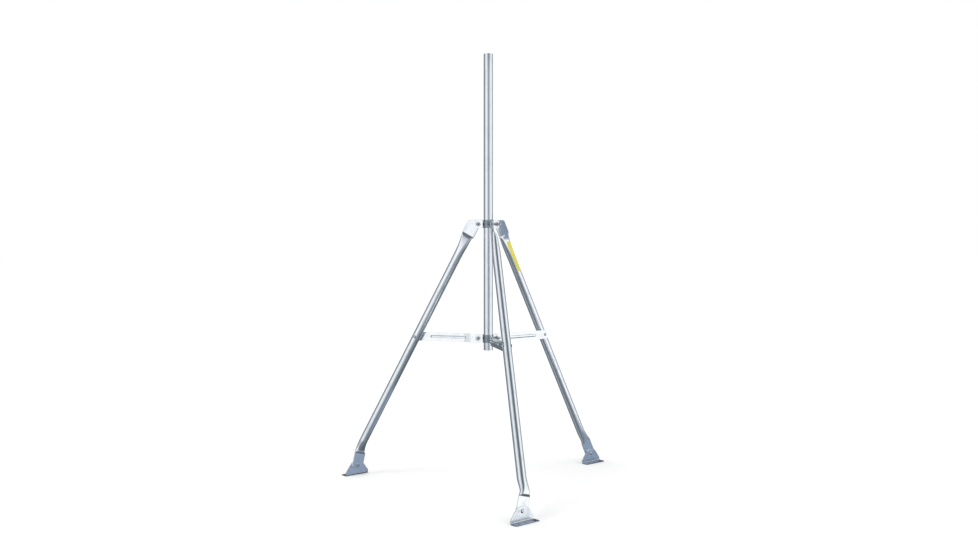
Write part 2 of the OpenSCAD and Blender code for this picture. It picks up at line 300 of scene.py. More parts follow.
def join(name, objs, angle=32.0):
    """One mesh from several separate closed solids."""
    bm = bmesh.new()
    for o in objs:
        bm.from_mesh(o.data)
    mesh = bpy.data.meshes.new(name)
    bm.to_mesh(mesh)
    bm.free()
    for o in objs:
        old = o.data
        bpy.data.objects.remove(o)
        bpy.data.meshes.remove(old)
    obj = bpy.data.objects.new(name, mesh)
    scene.collection.objects.link(obj)
    shade(obj, angle)
    return obj


def hex_radius(phi, af):
    f = (phi + math.pi / 6) % (math.pi / 3) - math.pi / 6
    return af / 2 / math.cos(f)


def hex_solid(name, af, h, matrix, bore=None, both=True, turn=0.0, n=96):
    """A hexagon with turned chamfers, solid or with a bore; z runs from 0 to h."""
    rc = af / 2 / math.cos(math.pi / 6)
    c = 1.1
    slope = 0.58
    steps = []
    low = [0.0, 0.08, 0.2, 0.36, 0.55, 0.8] if both else [0.0, 0.12, 0.3]
    top = [h - s for s in (0.8, 0.55, 0.36, 0.2, 0.08, 0.0)]
    steps = low + [h * 0.35, h * 0.65] + top
    verts = []
    for z in steps:
        for k in range(n):
            f = 2 * math.pi * k / n
            r = hex_radius(f, af) - 0.12 * smooth(1 - abs(rc - hex_radius(f, af)) / 0.25)
            r = min(r, rc - c + (h - z) / slope)
            if both:
                r = min(r, rc - c + z / slope)
            else:
                r = r - 0.18 * (1 - smooth(z / 0.3))
            verts.append((r * math.cos(f + turn), r * math.sin(f + turn), z))
    rows = len(steps)
    faces = []
    for a in range(rows - 1):
        for k in range(n):
            c2 = (k + 1) % n
            faces.append((a * n + k, a * n + c2, (a + 1) * n + c2, (a + 1) * n + k))
    if bore is None:
        faces += [tuple(range(n - 1, -1, -1)), tuple((rows - 1) * n + k for k in range(n))]
    else:
        inner = [(bore + 0.7, 0.0), (bore, 0.7), (bore, h - 0.7), (bore + 0.7, h)]
        base = len(verts)
        for r, z in inner:
            for k in range(n):
                f = 2 * math.pi * k / n + turn
                verts.append((r * math.cos(f), r * math.sin(f), z))
        for a in range(3):
            for k in range(n):
                c2 = (k + 1) % n
                faces.append((base + a * n + k, base + a * n + c2, base + (a + 1) * n + c2, base + (a + 1) * n + k))
        for k in range(n):
            c2 = (k + 1) % n
            faces.append((k, c2, base + c2, base + k))
            faces.append(((rows - 1) * n + k, (rows - 1) * n + c2, base + 3 * n + c2, base + 3 * n + k))
    return finish_mesh(name, verts, faces, matrix, 28.0)


def threaded(name, r, z0, z1, z_thread, matrix, depth=0.62, n=40):
    """A shank from z0 to z1 with a helical thread from z_thread to z1 and a chamfered tip."""
    zs = [z0]
    z = z0 + 1.0
    while z < z_thread:
        zs.append(z)
        z += 3.0
    z = z_thread
    while z < z1 - 0.02:
        zs.append(z)
        z += PITCH / 7
    zs.append(z1)
    verts = []
    for z in zs:
        for k in range(n):
            f = 2 * math.pi * k / n
            s = (z / PITCH - f / (2 * math.pi)) % 1.0
            tri = min(1.0, 1.25 * abs(2 * s - 1))
            env = smooth((z - z_thread) / PITCH)
            rr = r - depth * env * (1 - tri)
            rr = min(rr, r - 0.9 + (z1 - z) * 1.1)
            verts.append((rr * math.cos(f), rr * math.sin(f), z))
    return finish_mesh(name, verts, rings_to_faces(len(zs), n), matrix, 60.0)


# ------------------------------------------------------------------ the mast
def make_mast():
    r, ri, e = MAST_R, MAST_R - MAST_WALL, 0.45
    prof = []
    for cx, cz, f0 in ((r - e, MAST_LOW + e, -90), (r - e, MAST_TOP - e, 0), (ri + e, MAST_TOP - e, 90), (ri + e, MAST_LOW + e, 180)):
        if f0 == 0:
            prof += [(r, MAST_LOW + 60 * k) for k in range(1, 20)]
        if f0 == 180:
            prof += [(ri, MAST_TOP - 60 * k) for k in range(1, 20)]
        for k in range(5):
            f = rad(f0 + 90 * k / 4)
            prof.append((cx + e * math.cos(f), cz + e * math.sin(f)))
    return turned("mast", prof, Matrix.Identity(4), n=128, angle=40)


# ------------------------------------------------------------------ the legs: one round tube, pressed flat at both ends
NSEC = 96


def stadium(x0, x1, t):
    """NSEC points of a flattened tube's section, by equal steps along it, from the middle of its right end."""
    w = x1 - x0
    t = min(t, w)
    a, r = (w - t) / 2, t / 2
    mid = (x0 + x1) / 2
    total = 4 * a + 2 * math.pi * r
    out = []
    for k in range(NSEC):
        s = total * k / NSEC
        q = math.pi * r / 2
        if s < q:
            f = s / r
            p = (a + r * math.cos(f), r * math.sin(f))
        elif s < q + 2 * a:
            p = (a - (s - q), r)
        elif s < q + 2 * a + math.pi * r:
            f = math.pi / 2 + (s - q - 2 * a) / r
            p = (-a + r * math.cos(f), r * math.sin(f))
        elif s < q + 4 * a + math.pi * r:
            p = (-a + (s - q - 2 * a - math.pi * r), -r)
        else:
            f = -math.pi / 2 + (s - q - 4 * a - math.pi * r) / r
            p = (a + r * math.cos(f), r * math.sin(f))
        out.append((p[0] + mid, p[1]))
    return out


def pressed_width(t):
    """Width of the tube where it is pressed to the thickness t: its girth stays the same."""
    return 2 * LEG_R + (FLAT_W - 2 * LEG_R) * (2 * LEG_R - t) / (2 * LEG_R - FLAT_T)


def end_cut(d, r):
    return r - math.sqrt(max(0.0, r * r - (r - min(d, r)) ** 2))


UPPER_THICK = [(58.0, FLAT_T), (59.6, FLAT_T + 0.5), (62.5, 8.0), (66.0, 14.2), (70.0, 17.6), (81.0, 21.5), (97.0, 26.0), (115.0, 30.0), (135.0, 33.0), (155.0, 34.6), (168.0, 35.0)]
UPPER_OFF = [(58.0, 0.0), (62.0, 1.0), (66.5, 2.8), (70.0, 3.9), (83.0, 5.2), (100.0, 6.2), (130.0, 6.9), (168.0, SIDE)]
UPPER_ROWS = (58, 59, 59.8, 60.6, 61.5, 62.5, 63.5, 64.5, 65.5, 66.5, 67.5, 69, 71, 74, 78, 83, 89, 95, 102, 110, 119, 128, 138, 148, 158, 168)


def upper_section(u):
    """Thickness, width and middle of the pressed tube, u down the leg from its top bolt."""
    t = ramp(UPPER_THICK, u)
    return t, pressed_width(t), ECC + 3 * (1 - smooth((u - 58) / 60)), ramp(UPPER_OFF, u)


def leg_mesh(i):
    lf, ff = leg_frame(i), flat_frame(i)
    s = PLATE_SIDE[i]
    u1 = (TOP_Z - CREASE_Z + ECC * sl) / cl - 64
    end_u = foot_u(i) + 13
    oy = (axis_y(i, CREASE_Z + 4) - flat_y(i)) * 0.55
    sections = []
    tx = ECC + 3  # middle of the top flat
    roll = 0

    def put(points):
        sections.append([points[(j - roll) % NSEC] for j in range(NSEC)])

    def add(m, cx, cy, z, lo, hi, t):
        put([m @ Vector((cx + x, cy + y, z)) for x, y in stadium(lo, hi, t)])

    # top flat, from its end down: the end is level, so its sections turn from level to square with the leg
    for d, t in ((0.0, FLAT_T - 1.3), (0.35, FLAT_T - 0.4), (0.9, FLAT_T), (1.8, FLAT_T), (3.0, FLAT_T), (4.6, FLAT_T), (6.5, FLAT_T), (9, FLAT_T), (12, FLAT_T), (17, FLAT_T), (22, FLAT_T)):
        f = d / 70.0
        slope = tl * (1 - f) ** 1.5
        pts = []
        for x, y in stadium(-FLAT_W / 2 + end_cut(d, 2.5), FLAT_W / 2 - end_cut(d, 7.5), t):
            zz = (BAND_H / 2 + 1.5) / cl - tl * tx - d / cl - slope * x
            pts.append(lf @ Vector((tx + x, y, zz)))
        put(pts)
    for z in (-20, -28, -36, -44, -52, -56):
        f = smooth((-z - 8) / 40)
        put([lf @ Vector((tx + x, y, z - (1 - f) * 0.45 * x)) for x, y in stadium(-FLAT_W / 2, FLAT_W / 2, FLAT_T)])
    # crease and upper transition
    for u in UPPER_ROWS:
        t, w, cx, cy = upper_section(u)
        add(lf, cx, cy, -u, -w / 2, w / 2, t)
    # the round tube: from here its seam of points turns gently towards the lower flat's own direction
    fx = (ff.to_3x3() @ Vector((1, 0, 0)))
    fx_local = lf.to_3x3().inverted() @ fx
    turn = math.degrees(math.atan2(fx_local.y, fx_local.x))
    step = 360.0 / NSEC
    shift = round(turn / step)
    u0, u9 = 176.0, u1 - 4
    for k in range(25):
        u = u0 + (u9 - u0) * k / 24
        m = lf @ Matrix.Translation((ECC, SIDE, -u)) @ rot("Z", (turn - shift * step) * smooth(k / 24))
        put([m @ Vector((x, y, 0)) for x, y in stadium(-LEG_R, LEG_R, 2 * LEG_R)])
    roll = shift
    # lower transition: section planes turn from the tube's to the flat's
    ma = lf @ Matrix.Translation((ECC, SIDE, -u1 + 1)) @ rot("Z", turn)
    mb = ff @ Matrix.Translation((FLAT_E * 0.82, oy, 7.0))
    pa, pb = ma.to_translation(), mb.to_translation()
    ta, tb = -(ma.to_3x3() @ Vector((0, 0, 1))), -(mb.to_3x3() @ Vector((0, 0, 1)))
    qa, qb = ma.to_quaternion(), mb.to_quaternion()
    if qa.dot(qb) < 0:
        qb.negate()
    gap = (pb - pa).length
    low = [(0.0, 35.0), (0.2, 34.2), (0.45, 31.4), (0.7, 27.0), (1.0, 20.4)]
    for k in range(19):
        f = k / 18
        h = (2 * f ** 3 - 3 * f ** 2 + 1, f ** 3 - 2 * f ** 2 + f, -2 * f ** 3 + 3 * f ** 2, f ** 3 - f ** 2)
        p = pa * h[0] + ta * (gap * h[1]) + pb * h[2] + tb * (gap * h[3] * 0.6)
        m = Matrix.Translation(p) @ qa.slerp(qb, smooth(f)).to_matrix().to_4x4()
        t = ramp(low, f)
        w = pressed_width(t)
        put([m @ Vector((x, y, 0)) for x, y in stadium(-w / 2, w / 2, t)])
    # crease above the lower flat
    thick = [(-7.0, 20.4), (-3.8, 18.6), (0.0, 13.0), (2.6, 6.4), (4.4, FLAT_T + 0.5), (6.0, FLAT_T)]
    for u in (-6, -5, -4, -3, -2, -1, 0, 1, 2, 3, 3.8, 4.6, 6):
        t = ramp(thick, u)
        w = pressed_width(t)
        f = smooth((u + 7) / 12)
        add(ff, FLAT_E * (0.82 + 0.18 * f), oy * (1 - f), -u, -w / 2, w / 2, t)
    for d in (36, 30, 24, 18):
        add(ff, FLAT_E, 0, -end_u + d, -FLAT_W / 2, FLAT_W / 2, FLAT_T)
    for d, t in ((12, FLAT_T), (10, FLAT_T), (7, FLAT_T), (5, FLAT_T), (3, FLAT_T), (1.6, FLAT_T), (0.9, FLAT_T), (0.35, FLAT_T - 0.4), (0.0, FLAT_T - 1.3)):
        add(ff, FLAT_E, 0, -end_u + d, -FLAT_W / 2 + end_cut(d, 11), FLAT_W / 2 - end_cut(d, 11), t)
    verts = [p for sec in sections for p in sec]
    obj = finish_mesh("tube_leg_" + NAMES[i], verts, rings_to_faces(len(sections), NSEC), None, 50)
    return cut(obj, [cutter(2.6, (21.4, -10, -9.9), (21.4, 10, -9.9), lf), cutter(4.1, (0, -10, 0), (0, 10, 0), lf)], 50)


# ------------------------------------------------------------------ the brace arms: pressed bars with a joggle and a rib
def arm_mid(x):
    def lin(v):
        return ARM_Y * min(1.0, max(0.0, (v - 31.0) / 38.0))
    return sum(lin(x + 8.0 * (k / 8.0 - 1.0)) for k in range(17)) / 17


def arm_mesh(i):
    x_end = ARM_LEN + 14.0
    xs = [-18.5 * math.cos(rad(f)) for f in (5, 10, 16, 23, 31, 40, 50, 60, 70, 80, 90)]
    xs += [4, 8, 12, 16, 19, 21, 23, 25, 27, 29, 31, 33, 36, 39, 42, 45, 48, 50, 52, 54]
    xs += [55 + 1.0 * k for k in range(16)]
    xs += [72 + (62 + RIB_LEN - 74) / 22 * k for k in range(1, 22)]
    xs += [62 + RIB_LEN - 2 + 1.0 * k for k in range(12)]
    xs += [62 + RIB_LEN + 12 + (ARM_LEN + 4 - 62 - RIB_LEN - 12) / 8 * k for k in range(1, 9)]
    xs += [ARM_LEN + 4 + 10 * math.sin(rad(f)) for f in (12, 24, 36, 48, 59, 69, 78, 85)]
    xs = sorted(set(round(x, 4) for x in xs))
    qs = [-1, -0.93, -0.82, -0.7, -0.58, -0.48, -0.4, -0.34, -0.29, -0.245, -0.2, -0.155, -0.11, -0.07, -0.035, 0]
    qs = qs + [-q for q in qs[-2::-1]]
    grid = []
    for x in xs:
        if x < 0:
            hv = math.sqrt(max(0.0, 18.5 ** 2 - x * x))
        elif x > ARM_LEN + 4:
            hv = 8.5 + math.sqrt(max(0.0, 100 - (x - ARM_LEN - 4) ** 2))
        else:
            hv = 18.5
        row = []
        for q in qs:
            v = hv * q
            dx = max(0.0, 62 - x, x - 62 - RIB_LEN)
            rho = math.hypot(dx, v)
            press = 3.3 * smooth((6.2 - rho) / 4.6)
            row.append((x, arm_mid(x) - press, v))
        grid.append(row)
    m = at_leg(i) @ Matrix.Translation((PIVOT_R, 0, LOW_Z))
    obj = sheet("brace_arm_" + NAMES[i], grid, ARM_T, 0.6, m)
    return cut(obj, [cutter(2.4, (23, -20, 6), (23, 20, 6), m)])


# ------------------------------------------------------------------ the clamps: three pressed segments at each height
def clamp_mesh(name, z, gap, i):
    ym = gap / 2 + BAND_T / 2
    f = 4.0 + BAND_T / 2
    y1 = gap / 2 + BAND_T
    yc = y1 + 4.0
    xc = math.sqrt((BAND_R + 4.0) ** 2 - yc ** 2)
    th = math.degrees(math.atan2(yc, xc))
    mid_r = BORE_R + BAND_T / 2
    half = []
    for x in (FLANGE_R, FLANGE_R - 0.35, FLANGE_R - 1, FLANGE_R - 2, FLANGE_R - 3.2, FLANGE_R - 4.4, FLANGE_R - 6, 50, 47, 44, 41, 38, 35, 32, 29, 26.5):
        half.append((x, ym))
    for k in range(13):
        g = rad(-90 - (90 - th) * k / 12)
        half.append((xc + f * math.cos(g), yc + f * math.sin(g)))
    arc = [(mid_r * math.cos(rad(g)), mid_r * math.sin(rad(g))) for g in [th + (120 - 2 * th) * k / 28 for k in range(1, 28)]]
    ca, sa = math.cos(rad(120)), math.sin(rad(120))
    other = [(x * ca + y * sa, x * sa - y * ca) for x, y in reversed(half)]
    path = half + arc + other
    reach = [x for x, y in half] + [0.0] * len(arc) + [x for x, y in reversed(half)]
    qs = (-1, -0.94, -0.8, -0.6, -0.4, -0.2, 0, 0.2, 0.4, 0.6, 0.8, 0.94, 1)
    grid = []
    for (x, y), far in zip(path, reach):
        d = FLANGE_R - far
        hv = BAND_H / 2 - (end_cut(d, 5.2) if d < 5.2 else 0.0)
        grid.append([(x, y, hv * q) for q in qs])
    return sheet(name, grid, BAND_T, 0.5, rot("Z", ANG[i]) @ Matrix.Translation((0, 0, z)))


# ------------------------------------------------------------------ the feet: angle brackets with three holes
def plate_top(x):
    pts = [(-FOOT_L / 2, 14.0), (FOOT_L / 2, 14.0)]
    for k in range(0, 181, 3):
        f = rad(k)
        pts += [(18 + 14 * math.cos(f), FOOT_H - 15.5 + 14 * math.sin(f)), (-18 + 14 * math.cos(f), FOOT_H - 15.5 + 14 * math.sin(f)),
                (50 * math.cos(f), FOOT_H - 50 + 50 * math.sin(f))]
    hull = []
    for p in sorted(pts):
        while len(hull) > 1 and (hull[-1][0] - hull[-2][0]) * (p[1] - hull[-2][1]) - (hull[-1][1] - hull[-2][1]) * (p[0] - hull[-2][0]) >= 0:
            hull.pop()
        hull.append(p)
    for a, b in zip(hull, hull[1:]):
        if a[0] - 1e-9 <= x <= b[0] + 1e-9 and b[0] > a[0]:
            return a[1] + (b[1] - a[1]) * (x - a[0]) / (b[0] - a[0])
    return 14.0


def foot_mesh(i):
    s = PLATE_SIDE[i]
    m = Matrix.Translation((foot_x(i), foot_y(i), 0))
    h = FOOT_T / 2
    base = [(FOOT_D - d, h) for d in (0, 0.5, 1.2, 2.2, 3.4, 5, 8, 12, 16, 20, 24)]
    bend = [(6 + 4.5 * math.cos(rad(g)), 6 + 4.5 * math.sin(rad(g))) for g in [270 - 90 * k / 8 for k in range(9)]]
    lifts = [k / 14 for k in range(1, 15)]
    us = [-1, -0.985, -0.96, -0.92, -0.87] + [-0.8 + 1.6 * k / 40 for k in range(41)] + [0.87, 0.92, 0.96, 0.985, 1]
    grid = []
    for y, z in base + bend:
        d = FOOT_D - y
        hw = FOOT_L / 2 - (end_cut(d, 3.4) if d < 3.4 else 0.0)
        grid.append([(hw * u, s * y, z) for u in us])
    for f in lifts:
        row = []
        for u in us:
            x = FOOT_L / 2 * u
            row.append((x, s * h, 6 + (plate_top(x) - 6) * f))
        grid.append(row)
    obj = sheet("foot_bracket_" + NAMES[i], grid, FOOT_T, 0.6, m)
    holes = [cutter(ANCHOR_R, (k * ANCHOR_PITCH, s * 19, -3), (k * ANCHOR_PITCH, s * 19, 8), m) for k in (-1, 0, 1)]
    return cut(obj, holes)


# ------------------------------------------------------------------ fasteners
def along(i, x, y, z, side):
    """Frame at a point of leg i's own coordinates, with its Z axis along side * Y."""
    return at_leg(i) @ Matrix.Translation((x, y, z)) @ rot("X", -90 * side)


def clamp_bolt_mesh(name, z, gap, i):
    s = NUT_SIDE[i]
    face = gap / 2 + BAND_T + 1.64
    length = 2 * face + 6.5 + THREAD_OUT
    m = along(i, PIVOT_R, -s * face, z, s)
    head = hex_solid(name + "_h", BOLT_D * 1.625, BOLT_D * 0.66, m @ Matrix.Diagonal((1, 1, -1, 1)), both=False, turn=rad(9 + 17 * i))
    shank = threaded(name + "_s", BOLT_D / 2, -0.4, length, length - THREAD_OUT - 0.5, m)
    return join(name, [head, shank], 30)


def clamp_nut_mesh(name, z, gap, i):
    s = NUT_SIDE[i]
    m = along(i, PIVOT_R, s * (gap / 2 + BAND_T + 1.66), z, s)
    return hex_solid(name, BOLT_D * 1.625, 6.4, m, bore=BOLT_D / 2 + 0.03, turn=rad(12 + 23 * i))


def washer_profile(d, od, t):
    e = 0.3
    ri, ro = d / 2 + 0.15, od / 2
    return [(ri, e), (ri + e * 0.3, e * 0.3), (ri + e, 0), (ro - e, 0), (ro - e * 0.3, e * 0.3), (ro, e),
            (ro, t - e), (ro - e * 0.3, t - e * 0.3), (ro - e, t), (ri + e, t), (ri + e * 0.3, t - e * 0.3), (ri, t - e)]


def clamp_washers_mesh(name, z, gap):
    parts = []
    for i in range(3):
        for s in (-1, 1):
            parts.append(turned("w", washer_profile(BOLT_D, 20, 1.6), along(i, PIVOT_R, s * (gap / 2 + BAND_T + 0.02), z, s)))
    return join(name, parts)


def dome_profile(r, h, shank_r, shank):
    """A round head on its shank, from the shank's end up."""
    R = (r * r + (h - 0.5) ** 2) / (2 * (h - 0.5))
    pts = [(0.0, -shank), (shank_r - 0.4, -shank), (shank_r, -shank + 0.4), (shank_r, -0.02), (r - 0.25, 0.0), (r - 0.06, 0.12), (r, 0.3), (r, 0.5)]
    for k in range(1, 13):
        f = math.asin(min(1.0, r / R)) * (1 - k / 12)
        pts.append((R * math.sin(f), h - R + R * math.cos(f)))
    pts[-1] = (0.0, h)
    return pts


def arm_pin_mesh(i):
    return turned("brace_pin_" + NAMES[i], dome_profile(6.5, 3.6, PIN_D / 2, LEG_R * 2 + 0.2), along(i, PIN_R, SIDE + LEG_R + 0.05, LOW_Z, 1))


def arm_pin_head_mesh(i):
    return turned("brace_pin_head_" + NAMES[i], dome_profile(6.5, 3.6, PIN_D / 2, ARM_T), along(i, PIN_R, ARM_Y - ARM_T / 2 - 0.03, LOW_Z, -1))


def foot_bolt_mesh(i):
    s = PLATE_SIDE[i]
    m = Matrix.Translation((foot_x(i), foot_y(i) + s * (FOOT_T + 0.03), FOOT_BZ)) @ rot("X", -90 * s)
    head = turned("h", dome_profile(8, 4, BOLT_D / 2, 1.5), m)
    shank = threaded("s", BOLT_D / 2, 1.0, FOOT_T + FLAT_T + 10.8, FOOT_T + FLAT_T + 1.0, m @ rot("X", 180))
    return join("foot_pivot_bolt_" + NAMES[i], [head, shank], 30)


def foot_nut_mesh(i):
    s = PLATE_SIDE[i]
    m = Matrix.Translation((foot_x(i), flat_y(i) - s * (FLAT_T / 2 + 0.03), FOOT_BZ)) @ rot("X", 90 * s)
    wash = turned("w", washer_profile(BOLT_D, 17, 1.4), m)
    nut = hex_solid("n", BOLT_D * 1.625, 6.0, m @ Matrix.Translation((0, 0, 1.42)), bore=BOLT_D / 2 + 0.03, turn=rad(8 + 19 * i))
    return join("foot_pivot_nut_" + NAMES[i], [wash, nut], 28)


# ------------------------------------------------------------------ the label: a thin film with rounded corners
def girth_point(w, t, s):
    """Point and outward direction at the distance s along a flattened tube's section, from the middle of its right end."""
    t = min(t, w)
    a, r = (w - t) / 2, t / 2
    s = s % (4 * a + 2 * math.pi * r)
    q = math.pi * r / 2
    if s < q or s >= 4 * a + 3 * q:
        f = s / r if s < q else (s - 4 * a - 4 * q) / r
        return a + r * math.cos(f), r * math.sin(f), math.cos(f), math.sin(f)
    if s < q + 2 * a:
        return a - (s - q), r, 0.0, 1.0
    if s < 3 * q + 2 * a:
        f = math.pi / 2 + (s - q - 2 * a) / r
        return -a + r * math.cos(f), r * math.sin(f), math.cos(f), math.sin(f)
    return -a + (s - 2 * a - 3 * q), -r, 0.0, -1.0


def label_mesh():
    m = leg_frame(0)
    grid = []
    n_u, n_v = 81, 33
    top, end, half_arc = 92.0, 232.0, rad(41) * LEG_R
    for a in range(n_u):
        f = -1 + 2 * a / (n_u - 1)
        f = math.copysign(1 - (1 - abs(f)) ** 1.35, f)
        u = (top + end) / 2 + (end - top) / 2 * f
        d = (end - top) / 2 * (1 - abs(f))
        arc = half_arc - (end_cut(d, 4.0) if d < 4 else 0.0)
        t, w, cx, cy = upper_section(u)
        row = []
        for b in range(n_v):
            x, y, nx, ny = girth_point(w, t, rad(-71) * LEG_R + arc * (-1 + 2 * b / (n_v - 1)))
            row.append((cx + x + nx * 0.27, cy + y + ny * 0.27, -u))
        grid.append(row)
    return sheet("label_film", grid, 0.22, 0.06, m)


# ------------------------------------------------------------------ materials
def new_material(name):
    mat = bpy.data.materials.new(name)
    mat.use_nodes = True
    nt = mat.node_tree
    nt.nodes.clear()
    return mat, nt


def node(nt, kind, inputs=None, **props):
    n = nt.nodes.new(kind)
    for k, v in props.items():
        setattr(n, k, v)
    for k, v in (inputs or {}).items():
        if isinstance(v, bpy.types.NodeSocket):
            nt.links.new(v, n.inputs[k])
        else:
            n.inputs[k].default_value = v
    return n


def math_node(nt, op, a, b=None, c=None):
    n = nt.nodes.new("ShaderNodeMath")
    n.operation = op
    for k, v in enumerate((a, b, c)):
        if v is None:
            continue
        if isinstance(v, bpy.types.NodeSocket):
            nt.links.new(v, n.inputs[k])
        else:
            n.inputs[k].default_value = v
    return n.outputs[0]


def mix_color(nt, fac, a, b, blend="MIX"):
    n = nt.nodes.new("ShaderNodeMix")
    n.data_type = "RGBA"
    n.blend_type = blend
    n.clamp_factor = True
    for sock, v in ((n.inputs[0], fac), (n.inputs[6], a), (n.inputs[7], b)):
        if isinstance(v, bpy.types.NodeSocket):
            nt.links.new(v, sock)
        elif isinstance(v, (int, float)):
            sock.default_value = v
        else:
            sock.default_value = (*v, 1.0) if len(v) == 3 else v
    return n.outputs[2]


def color_ramp(nt, fac, stops, interpolation="LINEAR"):
    n = nt.nodes.new("ShaderNodeValToRGB")
    n.color_ramp.interpolation = interpolation
    els = n.color_ramp.elements
    while len(els) > 1:
        els.remove(els[-1])
    els[0].position, els[0].color = stops[0][0], (*stops[0][1], 1.0)
    for p, c in stops[1:]:
        e = els.new(p)
        e.color = (*c, 1.0)
    nt.links.new(fac, n.inputs[0])
    return n.outputs[0]


def gray(v):
    return (v, v, v)


def local_coords(nt, matrix):
    """Object coordinates turned into a piece's own frame, in metres: Z runs along the piece."""
    tc = node(nt, "ShaderNodeTexCoord")
    inv = matrix.to_3x3().inverted()
    origin = matrix.to_translation() * MM
    shift = node(nt, "ShaderNodeVectorMath", {0: tc.outputs["Object"], 1: tuple(origin)}, operation="SUBTRACT")
    parts = []
    for row in inv:
        d = node(nt, "ShaderNodeVectorMath", {0: shift.outputs[0], 1: tuple(row)}, operation="DOT_PRODUCT")
        parts.append(d.outputs["Value"])
    xyz = node(nt, "ShaderNodeCombineXYZ", {0: parts[0], 1: parts[1], 2: parts[2]})
    return xyz.outputs[0]


def scaled(nt, vec, scale):
    return node(nt, "ShaderNodeVectorMath", {0: vec, 1: scale}, operation="MULTIPLY").outputs[0]


def noise(nt, vec, scale, detail=3.0, rough=0.55, distortion=0.0):
    return node(nt, "ShaderNodeTexNoise", {"Vector": vec, "Scale": scale, "Detail": detail, "Roughness": rough, "Distortion": distortion}).outputs["Fac"]


